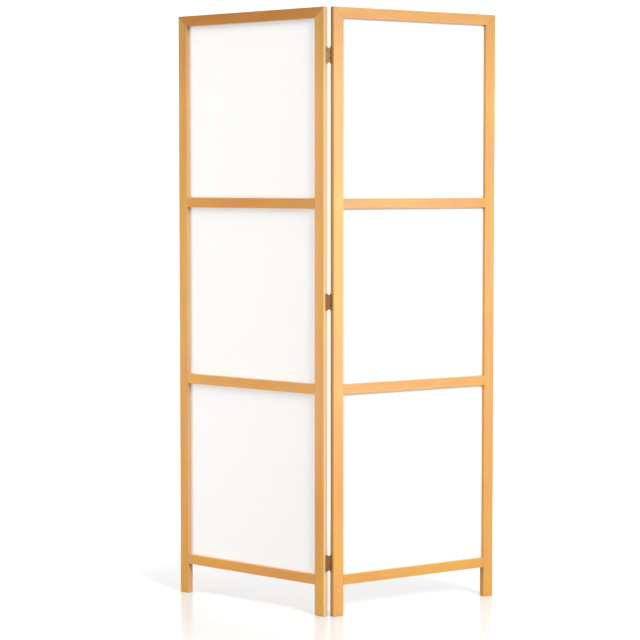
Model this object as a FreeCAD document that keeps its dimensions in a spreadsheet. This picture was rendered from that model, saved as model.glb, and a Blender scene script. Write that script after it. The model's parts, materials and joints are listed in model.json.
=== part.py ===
import FreeCAD, Part
import os
import re

import Sketcher

# Two-panel folding screen: mitred and tenoned softwood frames with rebated
# infill sheets, joined by three butt hinges and standing in a V on four legs.
#
# Object frame: X across, Y from front to back, Z up. The floor is at zero and
# the origin lies under the middle of the screen's box.
# Panel frame: the right panel's own axes. X runs from its hinge edge to its
# outer edge, Y from its front face to its back face, Z up from the floor.
# Every left piece is the mirror image of a right one.

# Each size in millimetres, or in degrees where it is an angle, with its meaning.
SIZES = (
    ("screen_height", 1800, "height of a panel"),
    ("panel_width", 600, "width of a panel from hinge edge to outer edge"),
    ("board_thickness", 18, "thickness of stiles and rails"),
    ("stile_width", 36, "width of both stiles"),
    ("top_rail_width", 32, "height of the mitred top rail"),
    ("rail_width", 30, "height of the three lower rails"),
    ("foot_height", 92, "floor to the underside of the bottom rail"),
    ("lower_pane_height", 539, "opening between the bottom and lower middle rails"),
    ("middle_pane_height", 519, "opening between the two middle rails"),
    ("half_fold", 37.5, "angle of each panel away from the line of the X axis"),
    ("arris_radius", 2, "rounding of a panel's outer edges"),
    ("sight_radius", 0.6, "easing of the front edges at openings and joints"),
    ("foot_chamfer", 1.2, "easing round the bottom of a leg"),
    ("rebate_width", 8, "rebate, from the sight edge into the wood"),
    ("rebate_depth", 7, "rebate, from the back face"),
    ("sheet_thickness", 0.5, "infill sheet"),
    ("sheet_clearance", 0.5, "gap from a sheet's edge to the side of the rebate"),
    ("bead_round", 3, "rounding of a bead's sight edge"),
    ("tenon_thickness", 5, "tongue on each end of a lower rail"),
    ("tenon_length", 20, "a tenon past the shoulder of its rail"),
    ("tenon_setback", 3, "front face to a tenon"),
    ("tenon_shoulder", 4, "shoulder above and below a tenon"),
    ("spline_thickness", 4, "loose tongue across a mitre"),
    ("spline_length", 20, "a spline along its mitre"),
    ("spline_width", 14, "a spline across its mitre"),
    ("joint_clearance", 0.05, "gap round a tenon or a spline"),
    ("joint_end_gap", 1, "room for glue past a tenon or a spline"),
    ("hinge_height", 50, "height of a hinge"),
    ("lower_hinge_rise", 36, "top of the bottom rail to the middle of the lower hinge"),
    ("middle_hinge_rise", 244, "top of the lower middle rail to the middle of the middle hinge"),
    ("upper_hinge_drop", 141, "top of the panel to the middle of the upper hinge"),
    ("leaf_thickness", 1.2, "plate of a hinge leaf"),
    ("leaf_cover", 12, "width of wood under a leaf, from the back face"),
    ("leaf_corner_chamfer", 1, "outer corners of a leaf"),
    ("barrel_inset", 2.5, "end of a leaf to the end of the barrel"),
    ("hinge_pin_radius", 1.25, "hinge pin"),
    ("hinge_pin_clearance", 0.05, "running gap between pin and knuckle"),
    ("pin_setback", 2.5, "back face of the wood to the axis of the pins"),
    ("knuckle_gap", 0.3, "between one knuckle and the next"),
    ("knuckle_relief", 0.3, "from a knuckle to the cut-out that clears it"),
    ("curl_gap", 0.4, "between a knuckle's rolled end and its leaf"),
    ("screw_diameter", 3, "shank of a hinge screw"),
    ("screw_head_diameter", 5, "countersunk head"),
    ("countersink_angle", 45, "slope of a countersunk head"),
    ("screw_length", 14, "length of a hinge screw over its head"),
    ("screw_tip_length", 3, "tapered end of a hinge screw"),
    ("screw_tip_angle", 20, "slope of a hinge screw's tapered end"),
    ("screw_clearance", 0.05, "radial gap round a screw"),
    ("screw_tip_gap", 1, "pilot hole past the tip of a screw"),
    ("screw_spacing", 28, "between the two screws of a leaf"),
    ("screw_inset", 6.5, "back face of the wood to the line of the screws"),
    ("cut_overrun", 5, "how far an open cut runs past the piece"),
)
KNUCKLE_COUNT = 5
ROUND_SIDES = 12
HALF_SIDE_ANGLE = 180 // ROUND_SIDES
FULL_TURN = 360
NAMES = {name for name, _, _ in SIZES}

# Places worked out from the sizes.
KNUCKLE_RADIUS = "(hinge_pin_radius + hinge_pin_clearance + leaf_thickness)"
PIN_DEPTH = "(board_thickness + pin_setback)"
LEAF_REACH = "(leaf_cover + pin_setback)"
OUTER_INNER_X = "(panel_width - stile_width)"
TOP_RAIL_BOTTOM = "(screen_height - top_rail_width)"
REBATE_FLOOR = "(board_thickness - rebate_depth)"
BEAD_DEPTH = "(rebate_depth - sheet_thickness)"
MORTISE_DEPTH = "(tenon_length + joint_end_gap)"
MITRE_TILT = "atan(top_rail_width / stile_width)"
SCREW_HEAD_DEPTH = "((screw_head_diameter - screw_diameter) / 2 / tan(countersink_angle))"
SCREW_Y = "(board_thickness - screw_inset)"
BARREL_HEIGHT = "(hinge_height - 2 * barrel_inset)"
KNUCKLE_PITCH = f"({BARREL_HEIGHT} / {KNUCKLE_COUNT})"

# The frontmost point is on a rounded hinge edge and the hindmost one on a
# rounded outer edge, both measured from the axis of the hinge pins.
FRONT_REACH = (
    f"(sin(half_fold) * ({KNUCKLE_RADIUS} + arris_radius)"
    f" - cos(half_fold) * ({PIN_DEPTH} - arris_radius) - arris_radius)"
)
BACK_REACH = (
    f"(sin(half_fold) * ({KNUCKLE_RADIUS} + panel_width - arris_radius)"
    " - cos(half_fold) * (pin_setback + arris_radius) + arris_radius)"
)
PIN_Y = f"(0 - ({FRONT_REACH} + {BACK_REACH}) / 2)"
PANEL_X = f"(cos(half_fold) * {KNUCKLE_RADIUS} + sin(half_fold) * {PIN_DEPTH})"
PANEL_Y = f"({PIN_Y} + sin(half_fold) * {KNUCKLE_RADIUS} - cos(half_fold) * {PIN_DEPTH})"

RAIL_BOTTOMS = {
    "bottom_rail": "foot_height",
    "lower_middle_rail": "(foot_height + rail_width + lower_pane_height)",
    "upper_middle_rail": "(foot_height + 2 * rail_width + lower_pane_height + middle_pane_height)",
}
PANES = {
    "lower": (f"({RAIL_BOTTOMS['bottom_rail']} + rail_width)", RAIL_BOTTOMS["lower_middle_rail"]),
    "middle": (f"({RAIL_BOTTOMS['lower_middle_rail']} + rail_width)", RAIL_BOTTOMS["upper_middle_rail"]),
    "upper": (f"({RAIL_BOTTOMS['upper_middle_rail']} + rail_width)", TOP_RAIL_BOTTOM),
}
HINGE_CENTRES = {
    "lower": f"({PANES['lower'][0]} + lower_hinge_rise)",
    "middle": f"({PANES['middle'][0]} + middle_hinge_rise)",
    "upper": "(screen_height - upper_hinge_drop)",
}

doc = FreeCAD.newDocument("FoldingScreen")
sheet = doc.addObject("Spreadsheet::Sheet", "Sizes")
for row, (name, number, meaning) in enumerate(SIZES, start=1):
    sheet.set(f"A{row}", meaning)
    sheet.set(f"B{row}", str(number))
    sheet.setAlias(f"B{row}", name)
doc.recompute()

ORIGIN = FreeCAD.Vector(0, 0, 0)
X_AXIS = FreeCAD.Vector(1, 0, 0)
Z_AXIS = FreeCAD.Vector(0, 0, 1)
SKETCH_ORIGIN = (-1, 1)
NEAR = 1e-4
kept = []


def bound(text):
    """An expression with each size name led by the name of the sheet."""
    return re.sub(r"[a-z_]+", lambda word: f"Sizes.{word[0]}" if word[0] in NAMES else word[0], text)


def value(text):
    """The present value of an expression in size names."""
    return float(sheet.evalExpression(bound(text)))


def new_body(label):
    """An empty body whose solids may lie apart."""
    body = doc.addObject("PartDesign::Body", label)
    body.Label = label
    body.AllowCompound = True
    return body


def keep(piece):
    """Marks a piece as one that is written out."""
    kept.append(piece)
    return piece


def in_right_panel(piece, x="0", y="0", z="0"):
    """Stands a piece in the right panel's frame, with its own origin at x, y, z."""
    piece.Placement = FreeCAD.Placement(ORIGIN, FreeCAD.Rotation(Z_AXIS, value("half_fold")))
    piece.setExpression(".Placement.Rotation.Angle", bound("half_fold"))
    places = {
        "x": f"{PANEL_X} + cos(half_fold) * {x} - sin(half_fold) * {y}",
        "y": f"{PANEL_Y} + sin(half_fold) * {x} + cos(half_fold) * {y}",
        "z": z,
    }
    for direction, place in places.items():
        piece.setExpression(f".Placement.Base.{direction}", bound(place))
    return piece


def mirrored(source, label):
    """The left-hand twin of a right-hand piece."""
    twin = doc.addObject("Part::Mirroring", label)
    twin.Label = label
    twin.Source = source
    twin.Base = ORIGIN
    twin.Normal = X_AXIS
    return keep(twin)


def new_sketch(body, plane_role, lift="0"):
    """A sketch on one of the body's own planes, lifted along that plane's normal."""
    plane = next(part for part in body.Origin.OriginFeatures if part.Role == plane_role)
    sketch = body.newObject("Sketcher::SketchObject", f"{body.Name}_sketch")
    sketch.AttachmentSupport = (plane, "")
    sketch.MapMode = "FlatFace"
    if lift != "0":
        sketch.setExpression(".AttachmentOffset.Base.z", bound(lift))
    return sketch


def hold(sketch, ties, sizes):
    """Adds the plain ties to a sketch, and then the constraints that have a size. Each
    of those is given as its words and the expression that it follows."""
    first = sketch.ConstraintCount + len(ties)
    sketch.addConstraint(ties + [Sketcher.Constraint(*words, value(text)) for words, text in sizes])
    for index, (_, text) in enumerate(sizes, start=first):
        sketch.setExpression(f"Constraints[{index}]", bound(text))


def point_sizes(geometry, end, place):
    """The two sizes that tie one point of a sketch to its x and y."""
    return [
        ((kind, *SKETCH_ORIGIN, geometry, end), text)
        for kind, text in zip(("DistanceX", "DistanceY"), place)
    ]


def add_polygon(sketch, corners):
    """A closed outline of straight sides through the given corners."""
    first = sketch.GeometryCount
    count = len(corners)
    places = [FreeCAD.Vector(value(x), value(y), 0) for x, y in corners]
    sides = [Part.LineSegment(place, places[(side + 1) % count]) for side, place in enumerate(places)]
    sketch.addGeometry(sides, False)
    ties = [
        Sketcher.Constraint("Coincident", first + side, 2, first + (side + 1) % count, 1)
        for side in range(count)
    ]
    sizes = [size for side, corner in enumerate(corners) for size in point_sizes(first + side, 1, corner)]
    hold(sketch, ties, sizes)


def add_rectangle(sketch, low_x, low_y, high_x, high_y):
    """A closed rectangle between two corners."""
    add_polygon(sketch, ((low_x, low_y), (high_x, low_y), (high_x, high_y), (low_x, high_y)))


def add_circle(sketch, x, y, diameter):
    """A circle of the given diameter with its centre at x, y."""
    centre = FreeCAD.Vector(value(x), value(y), 0)
    index = sketch.addGeometry(Part.Circle(centre, Z_AXIS, value(diameter) / 2), False)
    hold(sketch, [], point_sizes(index, 3, (x, y)) + [(("Diameter", index), diameter)])


def add_small_round(sketch, x, y, diameter):
    """A small round section as a regular polygon. Its sides touch the circle."""
    reach = f"{diameter} / 2 / cos({HALF_SIDE_ANGLE})"
    corners = [
        (f"{x} + {reach} * cos({turn})", f"{y} + {reach} * sin({turn})")
        for turn in range(HALF_SIDE_ANGLE, FULL_TURN, 2 * HALF_SIDE_ANGLE)
    ]
    add_polygon(sketch, corners)


def extrude(body, sketch, length, kind="Pad", backwards=False, narrowing="0"):
    """Adds a Pad or takes away a Pocket of the given length. Both run along the
    normal of the sketch's plane unless they run backwards, and may narrow at an angle."""
    feature = body.newObject(f"PartDesign::{kind}", f"{body.Name}_{kind.lower()}")
    feature.Profile = sketch
    feature.setExpression("Length", bound(length))
    feature.Reversed = (kind == "Pad") == backwards
    if narrowing != "0":
        feature.setExpression("TaperAngle", bound(f"0 - {narrowing}"))
    before = body.Shape.Volume if kind == "Pocket" else 0
    doc.recompute()
    if kind == "Pocket" and not feature.Shape.Volume < before:
        raise RuntimeError(f"{body.Label}: a cut took nothing away")


def straight_edges(shape, **places):
    """Names of the straight edges that lie at the given x, y or z."""
    found = []
    for number, edge in enumerate(shape.Edges, start=1):
        if edge.Curve.TypeId != "Part::GeomLine":
            continue
        if all(
            abs(getattr(vertex.Point, axis) - place) < NEAR
            for vertex in edge.Vertexes
            for axis, place in places.items()
        ):
            found.append(f"Edge{number}")
    return found


def dress(body, kind, edge_names, amount):
    """Puts a Fillet or a Chamfer of the given size on named edges of the body's last shape."""
    base = body.Tip
    feature = body.newObject(f"PartDesign::{kind}", f"{body.Name}_{kind.lower()}")
    feature.Base = (base, edge_names)
    feature.setExpression("Radius" if kind == "Fillet" else "Size", bound(amount))
    doc.recompute()


def cut_rebates(body):
    """Sinks the rebate of each pane from the back face."""
    sketch = new_sketch(body, "XZ_Plane", "0 - board_thickness")
    for low, high in PANES.values():
        add_rectangle(
            sketch,
            "stile_width - rebate_width",
            f"{low} - rebate_width",
            f"{OUTER_INNER_X} + rebate_width",
            f"{high} + rebate_width",
        )
    extrude(body, sketch, "rebate_depth", "Pocket")


def add_tenons(body, low, high):
    """The tenons of a rail, one on each end."""
    sketch = new_sketch(body, "XZ_Plane", "0 - tenon_setback - tenon_thickness")
    add_rectangle(
        sketch,
        "stile_width - tenon_length",
        f"{low} + tenon_shoulder",
        f"{OUTER_INNER_X} + tenon_length",
        f"{high} - tenon_shoulder",
    )
    extrude(body, sketch, "tenon_thickness")


def cut_mortises(body, near_x, far_x):
    """The mortises of a stile, one for each lower rail."""
    sketch = new_sketch(body, "XZ_Plane", "0 - tenon_setback - tenon_thickness - joint_clearance")
    for low in RAIL_BOTTOMS.values():
        add_rectangle(
            sketch,
            near_x,
            f"{low} + tenon_shoulder - joint_clearance",
            far_x,
            f"{low} + rail_width - tenon_shoulder + joint_clearance",
        )
    extrude(body, sketch, "tenon_thickness + 2 * joint_clearance", "Pocket")


def spline_section(body, outer, side_gap="0", length_gap="0", width_gap="0"):
    """The outline of a mitre's spline, square to the mitre and centred on it, on a
    plane at its back. The gaps make it a slot's outline."""
    back = f"({REBATE_FLOOR} + spline_thickness) / 2 + {side_gap}"
    sketch = new_sketch(body, "XZ_Plane", f"0 - ({back})")
    middle_x = "(panel_width - stile_width / 2)" if outer else "(stile_width / 2)"
    hand = "-" if outer else "+"
    length = f"(spline_length / 2 + {length_gap})"
    width = f"(spline_width / 2 + {width_gap})"
    corners = []
    for along, across in (("+", "+"), ("-", "+"), ("-", "-"), ("+", "-")):
        x = f"({along} {length} * cos({MITRE_TILT}) {across} {width} * sin({MITRE_TILT}))"
        z = f"(0 - ({along} {length} * sin({MITRE_TILT})) {across} {width} * cos({MITRE_TILT}))"
        corners.append((f"{middle_x} {hand} {x}", f"screen_height - top_rail_width / 2 + {z}"))
    add_polygon(sketch, corners)
    return sketch


def cut_spline_slot(body, outer):
    """The slot of a mitre's spline."""
    sketch = spline_section(body, outer, "joint_clearance", "joint_clearance", "joint_end_gap")
    extrude(body, sketch, "spline_thickness + 2 * joint_clearance", "Pocket")


def screw_places():
    """Centres of the hinge screws in the edge of a hinge stile, as depth and height."""
    for centre in HINGE_CENTRES.values():
        for half in ("- screw_spacing / 2", "+ screw_spacing / 2"):
            yield SCREW_Y, f"{centre} {half}"


def frame_member(label, corners):
    """A board of the frame: its front outline, as thick as the frame."""
    body = keep(in_right_panel(new_body(label)))
    sketch = new_sketch(body, "XZ_Plane")
    add_polygon(sketch, corners)
    extrude(body, sketch, "board_thickness", backwards=True)
    return body


def own_shape(body):
    """A body's shape in its own frame."""
    return body.Shape.transformed(body.Placement.inverse().toMatrix())


def ease_board(body, outer_edges, sight_edges, foot=False):
    """Rounds a board's outer edges on front and back, chamfers its foot if it stands
    on the floor, and eases its front sight edges."""
    faces = (0, value("board_thickness"))
    shape = own_shape(body)
    names = [name for edge in outer_edges for y in faces for name in straight_edges(shape, y=y, **edge)]
    if names:
        dress(body, "Fillet", names, "arris_radius")
    if foot:
        dress(body, "Chamfer", straight_edges(own_shape(body), z=0), "foot_chamfer")
    shape = own_shape(body)
    names = [name for edge in sight_edges for name in straight_edges(shape, y=0, **edge)]
    dress(body, "Fillet", names, "sight_radius")


def make_stiles():
    """The hinge stile and the outer stile, each mitred at its top."""
    hinge_stile = frame_member(
        "right_hinge_stile",
        (("0", "0"), ("stile_width", "0"), ("stile_width", TOP_RAIL_BOTTOM), ("0", "screen_height")),
    )
    cut_rebates(hinge_stile)
    cut_mortises(hinge_stile, f"stile_width - {MORTISE_DEPTH}", "stile_width + cut_overrun")
    cut_spline_slot(hinge_stile, outer=False)
    pilots = new_sketch(hinge_stile, "YZ_Plane")
    for y, z in screw_places():
        add_small_round(pilots, y, z, "(screw_diameter + 2 * screw_clearance)")
    extrude(hinge_stile, pilots, "screw_length - leaf_thickness + screw_tip_gap", "Pocket")
    ease_board(hinge_stile, [{"x": 0}], [{"x": value("stile_width")}], foot=True)

    outer_stile = frame_member(
        "right_outer_stile",
        (
            (OUTER_INNER_X, "0"),
            ("panel_width", "0"),
            ("panel_width", "screen_height"),
            (OUTER_INNER_X, TOP_RAIL_BOTTOM),
        ),
    )
    cut_rebates(outer_stile)
    cut_mortises(outer_stile, f"{OUTER_INNER_X} - cut_overrun", f"{OUTER_INNER_X} + {MORTISE_DEPTH}")
    cut_spline_slot(outer_stile, outer=True)
    ease_board(outer_stile, [{"x": value("panel_width")}], [{"x": value(OUTER_INNER_X)}], foot=True)


def make_rails():
    """The mitred top rail and the three rails between the stiles."""
    top_rail = frame_member(
        "right_top_rail",
        (
            ("stile_width", TOP_RAIL_BOTTOM),
            (OUTER_INNER_X, TOP_RAIL_BOTTOM),
            ("panel_width", "screen_height"),
            ("0", "screen_height"),
        ),
    )
    cut_rebates(top_rail)
    cut_spline_slot(top_rail, outer=False)
    cut_spline_slot(top_rail, outer=True)
    ease_board(top_rail, [{"z": value("screen_height")}], [{"z": value(TOP_RAIL_BOTTOM)}])

    ends = [{"x": value("stile_width")}, {"x": value(OUTER_INNER_X)}]
    for rail, low in RAIL_BOTTOMS.items():
        high = f"{low} + rail_width"
        corners = (("stile_width", low), (OUTER_INNER_X, low), (OUTER_INNER_X, high), ("stile_width", high))
        body = frame_member(f"right_{rail}", corners)
        cut_rebates(body)
        add_tenons(body, low, high)
        ease_board(body, [], [{"z": value(low)}, {"z": value(high)}, *ends])


def make_infill(pane, low, high):
    """The sheet of one pane and the four mitred beads that hold it in its rebate."""
    infill = keep(doc.addObject("Part::Box", f"right_{pane}_sheet"))
    infill.Label = infill.Name
    side_gap = "(rebate_width - sheet_clearance)"
    infill.setExpression("Length", bound(f"{OUTER_INNER_X} - stile_width + 2 * {side_gap}"))
    infill.setExpression("Width", bound("sheet_thickness"))
    infill.setExpression("Height", bound(f"{high} - {low} + 2 * {side_gap}"))
    in_right_panel(infill, f"(stile_width - {side_gap})", REBATE_FLOOR, f"{low} - {side_gap}")

    sight = (("stile_width", low), (OUTER_INNER_X, low), (OUTER_INNER_X, high), ("stile_width", high))
    seat = (
        ("stile_width - rebate_width", f"{low} - rebate_width"),
        (f"{OUTER_INNER_X} + rebate_width", f"{low} - rebate_width"),
        (f"{OUTER_INNER_X} + rebate_width", f"{high} + rebate_width"),
        ("stile_width - rebate_width", f"{high} + rebate_width"),
    )
    sight_lines = (
        {"z": value(low)},
        {"x": value(OUTER_INNER_X)},
        {"z": value(high)},
        {"x": value("stile_width")},
    )
    for side, place in enumerate(("bottom", "outer", "top", "hinge")):
        following = (side + 1) % len(sight)
        body = keep(in_right_panel(new_body(f"right_{pane}_{place}_bead")))
        sketch = new_sketch(body, "XZ_Plane", "0 - board_thickness")
        add_polygon(sketch, (seat[side], seat[following], sight[following], sight[side]))
        extrude(body, sketch, BEAD_DEPTH)
        shape = own_shape(body)
        names = straight_edges(shape, y=value("board_thickness"), **sight_lines[side])
        dress(body, "Fillet", names, "bead_round")


def make_splines():
    """The splines of a panel's two mitres, as one group."""
    group = keep(in_right_panel(new_body("right_mitre_splines")))
    for outer in (False, True):
        extrude(group, spline_section(group, outer), "spline_thickness")


def make_leaf(label, own_knuckles, centre):
    """A hinge leaf in right-hand form, with its origin on the axis of the pin: a
    plate against the stile's edge, rolled at the back into knuckles."""
    body = new_body(label)
    body.Placement = FreeCAD.Placement(ORIGIN, FreeCAD.Rotation(Z_AXIS, value("half_fold")))
    body.setExpression(".Placement.Rotation.Angle", bound("half_fold"))
    body.setExpression(".Placement.Base.y", bound(PIN_Y))
    body.setExpression(".Placement.Base.z", bound(f"{centre} - hinge_height / 2"))
    plate_x = f"({KNUCKLE_RADIUS} - leaf_thickness)"

    plate = new_sketch(body, "XY_Plane")
    add_rectangle(plate, plate_x, f"0 - {LEAF_REACH}", KNUCKLE_RADIUS, "0")
    extrude(body, plate, "hinge_height")
    barrel = new_sketch(body, "XY_Plane", "barrel_inset")
    add_circle(barrel, "0", "0", f"2 * {KNUCKLE_RADIUS}")
    extrude(body, barrel, BARREL_HEIGHT)
    bore = new_sketch(body, "XY_Plane", "barrel_inset")
    add_circle(bore, "0", "0", "2 * (hinge_pin_radius + hinge_pin_clearance)")
    extrude(body, bore, BARREL_HEIGHT, "Pocket")
    curl = new_sketch(body, "XY_Plane")
    add_rectangle(curl, f"{plate_x} - curl_gap", f"0 - {KNUCKLE_RADIUS} - knuckle_relief", plate_x, "0")
    extrude(body, curl, "hinge_height", "Pocket")

    levels = ["0 - cut_overrun"]
    for knuckle in own_knuckles:
        levels.append(f"barrel_inset + {knuckle} * {KNUCKLE_PITCH} + knuckle_gap / 2")
        levels.append(f"barrel_inset + {knuckle + 1} * {KNUCKLE_PITCH} - knuckle_gap / 2")
    levels.append("hinge_height + cut_overrun")
    cut_outs = new_sketch(body, "XZ_Plane", f"{KNUCKLE_RADIUS} + knuckle_relief")
    near_x = f"0 - {KNUCKLE_RADIUS} - cut_overrun"
    far_x = f"{KNUCKLE_RADIUS} + cut_overrun"
    for low, high in zip(levels[::2], levels[1::2]):
        add_rectangle(cut_outs, near_x, low, far_x, high)
    extrude(body, cut_outs, f"2 * {KNUCKLE_RADIUS} + knuckle_relief + cut_overrun", "Pocket", True)

    for diameter, depth, narrowing in (
        ("screw_diameter", "leaf_thickness", "0"),
        ("screw_head_diameter", SCREW_HEAD_DEPTH, "countersink_angle"),
    ):
        holes = new_sketch(body, "YZ_Plane", plate_x)
        for half in ("- screw_spacing / 2", "+ screw_spacing / 2"):
            place = ("0 - screw_inset - pin_setback", f"hinge_height / 2 {half}")
            add_small_round(holes, *place, f"({diameter} + 2 * screw_clearance)")
        extrude(body, holes, depth, "Pocket", narrowing=narrowing)
    shape = own_shape(body)
    corners = [
        name
        for height in (0, value("hinge_height"))
        for name in straight_edges(shape, y=-value(LEAF_REACH), z=height)
    ]
    dress(body, "Chamfer", corners, "leaf_corner_chamfer")
    return body


def make_hinges():
    """Three butt hinges: interleaved leaves on a pin, with two screws in each leaf."""
    end_knuckles = range(0, KNUCKLE_COUNT, 2)
    inner_knuckles = range(1, KNUCKLE_COUNT, 2)
    for level, centre in HINGE_CENTRES.items():
        keep(make_leaf(f"{level}_hinge_right_leaf", inner_knuckles, centre))
        pattern = make_leaf(f"{level}_hinge_left_leaf_pattern", end_knuckles, centre)
        mirrored(pattern, f"{level}_hinge_left_leaf")
        pin = keep(new_body(f"{level}_hinge_pin"))
        pin.setExpression(".Placement.Base.y", bound(PIN_Y))
        pin.setExpression(".Placement.Base.z", bound(f"{centre} - {BARREL_HEIGHT} / 2"))
        section = new_sketch(pin, "XY_Plane")
        add_circle(section, "0", "0", "2 * hinge_pin_radius")
        extrude(pin, section, BARREL_HEIGHT)


def make_screws():
    """The countersunk screws of the right leaves, as one group: heads, shanks, tips."""
    group = keep(in_right_panel(new_body("right_hinge_screws")))
    shank_x = f"{SCREW_HEAD_DEPTH} - leaf_thickness"
    tip_x = "screw_length - screw_tip_length - leaf_thickness"
    for start_x, diameter, length, narrowing in (
        ("0 - leaf_thickness", "screw_head_diameter", SCREW_HEAD_DEPTH, "countersink_angle"),
        (shank_x, "screw_diameter", f"{tip_x} - ({shank_x})", "0"),
        (tip_x, "screw_diameter", "screw_tip_length", "screw_tip_angle"),
    ):
        sections = new_sketch(group, "YZ_Plane", start_x)
        for y, z in screw_places():
            add_small_round(sections, y, z, diameter)
        extrude(group, sections, length, narrowing=narrowing)


make_stiles()
make_rails()
for pane, (low, high) in PANES.items():
    make_infill(pane, low, high)
make_splines()
make_screws()
for piece in list(kept):
    mirrored(piece, piece.Label.replace("right_", "left_", 1))
make_hinges()
doc.recompute()

for item in doc.Objects:
    if {"Invalid", "Error"} & set(item.State):
        raise RuntimeError(f"{item.Label}: {item.State}")
for piece in kept:
    if piece.Shape.isNull() or not piece.Shape.isValid() or not piece.Shape.Solids:
        raise RuntimeError(f"{piece.Label}: its shape is not a valid solid")

os.makedirs("parts", exist_ok=True)
for piece in kept:
    piece.Shape.exportStep(f"parts/{piece.Label}.step")
print(f"{len(kept)} nodes, {sum(len(piece.Shape.Solids) for piece in kept)} solids")
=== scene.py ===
# %% [markdown]
# # A wooden folding screen
#
# The screen is two framed panels of varnished pine. White translucent sheets fill the frames, and
# three small hinges join the panels along one edge, so that they stand in a V on four legs.
#
# The packed model brings every board, bead, sheet and hinge leaf at its real size. This lesson gives
# them their finishes, and models what a plain solid can't show: the slack of the sheets, the screws
# and the nails.

import json
import math
import random

import bmesh
import bpy
from mathutils import Matrix, Vector


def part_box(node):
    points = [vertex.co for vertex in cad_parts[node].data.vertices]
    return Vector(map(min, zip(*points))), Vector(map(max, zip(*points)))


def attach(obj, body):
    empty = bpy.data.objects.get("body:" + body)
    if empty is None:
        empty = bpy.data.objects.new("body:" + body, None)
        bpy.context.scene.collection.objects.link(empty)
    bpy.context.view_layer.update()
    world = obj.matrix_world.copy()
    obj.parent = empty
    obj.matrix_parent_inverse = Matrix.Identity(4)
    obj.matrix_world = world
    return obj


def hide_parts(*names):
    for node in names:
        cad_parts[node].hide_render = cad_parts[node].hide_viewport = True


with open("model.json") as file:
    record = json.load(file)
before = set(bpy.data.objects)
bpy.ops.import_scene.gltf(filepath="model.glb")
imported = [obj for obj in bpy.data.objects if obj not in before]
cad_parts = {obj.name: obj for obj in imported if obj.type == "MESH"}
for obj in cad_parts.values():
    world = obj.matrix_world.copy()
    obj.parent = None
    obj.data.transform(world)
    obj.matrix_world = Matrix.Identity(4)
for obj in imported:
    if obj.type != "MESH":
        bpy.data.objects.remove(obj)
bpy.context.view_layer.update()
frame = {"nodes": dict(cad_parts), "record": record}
MM = 0.001

# %% [markdown]
# ## Where things are
#
# Each panel is a flat thing, but it stands at an angle, so its boards don't lie along X or Y. It is
# easier to work in the panel's own axes: `u` runs from its hinge edge to its outer edge, `v` from its
# front face to its back face, and `z` up from the floor.
#
# The angle needn't be typed in. The feet of the right panel are known places of the model, and the
# line through them gives it. The left panel is the mirror image of the right one.

# %% Find the panel's axes
feet = {mount["name"]: Vector(mount["pos_m"]) for mount in frame["record"]["mounts"]}
foot_line = feet["right_outer_foot"] - feet["right_hinge_foot"]
FOLD = math.atan2(foot_line.y, foot_line.x)
TURN = Matrix.Rotation(FOLD, 4, "Z")
SIDES = {"left": -1, "right": 1}


def turned_box(node):
    """The lowest and highest corner of a right-hand node, square to its panel."""
    places = [TURN.inverted() @ vertex.co for vertex in frame["nodes"][node].data.vertices]
    lowest = Vector(min(place[axis] for place in places) for axis in range(3))
    highest = Vector(max(place[axis] for place in places) for axis in range(3))
    return lowest, highest


PANEL_CORNER = turned_box("right_hinge_stile")[0]


def panel_box(node):
    """The same corners as u, v and z."""
    return tuple(corner - PANEL_CORNER for corner in turned_box(node))


def panel_matrix(side):
    """Takes a point given as u, v and z to its place in the model."""
    mirror = Matrix.Diagonal((SIDES[side], 1, 1, 1))
    return mirror @ TURN @ Matrix.Translation(PANEL_CORNER)


PANEL_WIDTH = panel_box("right_outer_stile")[1].x
PANEL_HEIGHT = panel_box("right_outer_stile")[1].z
BOARD = panel_box("right_hinge_stile")[1].y
STILE_WIDTH = panel_box("right_hinge_stile")[1].x
TOP_RAIL_HEIGHT = PANEL_HEIGHT - panel_box("right_top_rail")[0].z
print(f"a panel is {PANEL_WIDTH:.3f} by {PANEL_HEIGHT:.3f} m, turned {math.degrees(FOLD):.1f} degrees")

# %% [markdown]
# ## The camera
#
# A photograph fixes the camera by the way that level lines converge. Here the rails above eye level
# slope down to the outer edges and those below it slope up, which sets the camera's height, and how
# strongly they slope sets its distance. A long lens from well back gives the calm, nearly upright
# lines of a shop picture.

# %% Set up the camera
CAMERA_PLACE = Vector((0.3873, -6.4453, 1.2907))
CAMERA_TILT = math.radians(3.720)
CAMERA_TURN = math.radians(3.776)
LENS = 120.06
SENSOR = 36

camera_data = bpy.data.cameras.new("camera")
camera_data.lens = LENS
camera_data.sensor_width = SENSOR
camera = bpy.data.objects.new("camera", camera_data)
camera.location = CAMERA_PLACE
camera.rotation_euler = (math.pi / 2 - CAMERA_TILT, 0, CAMERA_TURN)
bpy.context.scene.collection.objects.link(camera)
bpy.context.scene.camera = camera
print(f"the camera stands {CAMERA_PLACE.length:.2f} m away, {CAMERA_PLACE.z:.2f} m up")

# %% [markdown]
# ## Shader maths in Python
#
# A finish is worked out by a graph of nodes. Wired one by one they are hard to read, so a small
# class wraps a node's output and lets sums be written as sums: `1 - mask * 2` adds the two Math
# nodes that it needs. Sums of plain numbers stay in Python and add none.

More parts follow.
